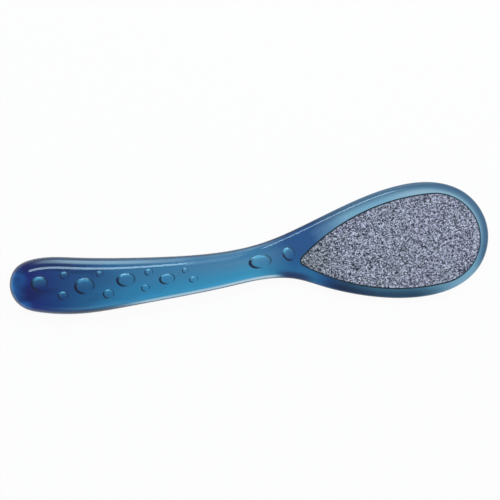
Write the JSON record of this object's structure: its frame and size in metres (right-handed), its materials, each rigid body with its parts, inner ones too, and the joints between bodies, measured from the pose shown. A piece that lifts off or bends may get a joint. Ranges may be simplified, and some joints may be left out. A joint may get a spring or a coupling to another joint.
{
  "type": "foot file",
  "caption": "Paddle-shaped foot file: a clear blue moulded handle with raised water drops and a teardrop of coated abrasive in each face of its head.",
  "frame": {"origin": "middle of the length and width, level with the surface that the file lies on", "axes": "+X towards the nose of the head, +Y across the head to the side that the butt of the grip swings to, +Z out of the front face, which carries the coarse abrasive"},
  "size_m": [0.24, 0.057, 0.0134],
  "materials": {
    "clear_blue": "polished clear moulding, tinted deep blue",
    "adhesive": "transfer film of pressure-sensitive adhesive",
    "backing": "waterproofed backing paper",
    "coarse_grain": "coarse grains bonded in resin, speckled lavender grey",
    "fine_grain": "fine grains bonded in resin, even lavender grey"
  },
  "bodies": {
    "root": {"handle": "clear_blue", "coarse_adhesive": "adhesive", "coarse_backing": "backing", "coarse_grit": "coarse_grain", "fine_adhesive": "adhesive", "fine_backing": "backing", "fine_grit": "fine_grain"}
  },
  "joints": []
}
